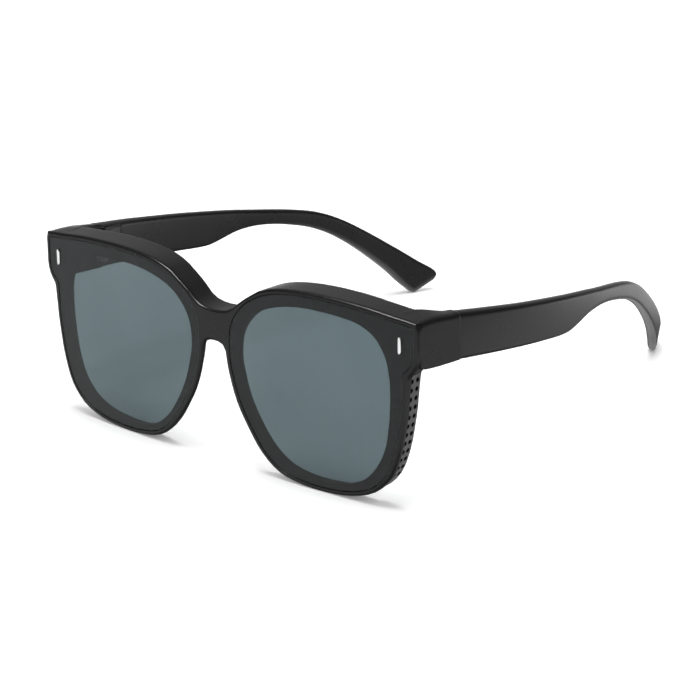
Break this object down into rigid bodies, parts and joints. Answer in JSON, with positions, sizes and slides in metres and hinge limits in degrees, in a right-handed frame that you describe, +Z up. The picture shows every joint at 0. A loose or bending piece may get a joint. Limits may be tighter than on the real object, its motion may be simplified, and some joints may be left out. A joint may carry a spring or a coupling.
{
  "type": "square sunglasses",
  "caption": "Large square sunglasses with dark lens plates set into the front, small oblong corner rivets, perforated side panels and folding plastic temples.",
  "frame": {"origin": "middle of the object's box on the table, with the temples open", "axes": "+X to the viewer's right when facing the lenses, +Y from the lenses back to the temple tips, +Z up"},
  "size_m": [0.1468, 0.168, 0.0587],
  "materials": {
    "frame_plastic": "satin black injection-moulded plastic",
    "vent_plastic": "fine matte dark grey plastic",
    "lens_tint": "glossy see-through smoke-tinted polarised sheet",
    "bright_steel": "polished",
    "hinge_steel": "nickel plated"
  },
  "bodies": {
    "front": {"front_frame": "frame_plastic", "lens_left": "lens_tint", "lens_right": "lens_tint", "vent_panel_left": "vent_plastic", "vent_panel_right": "vent_plastic", "rivet_left": "bright_steel", "rivet_right": "bright_steel", "front_hinge_left": "hinge_steel", "front_hinge_right": "hinge_steel", "hinge_screw_left": "hinge_steel", "hinge_screw_right": "hinge_steel"},
    "temple_left": {"temple_left": "frame_plastic", "temple_hinge_left": "hinge_steel"},
    "temple_right": {"temple_right": "frame_plastic", "temple_hinge_right": "hinge_steel"}
  },
  "joints": [
    {"name": "fold_right", "type": "hinge", "parent": "front", "child": "temple_right", "pos_m": [0.0665, -0.06111, 0.0475], "axis": [0, 0, 1], "range_deg": [0, 87]},
    {"name": "fold_left", "type": "hinge", "parent": "front", "child": "temple_left", "pos_m": [-0.0665, -0.06111, 0.0475], "axis": [0, 0, -1], "range_deg": [0, 81]}
  ]
}
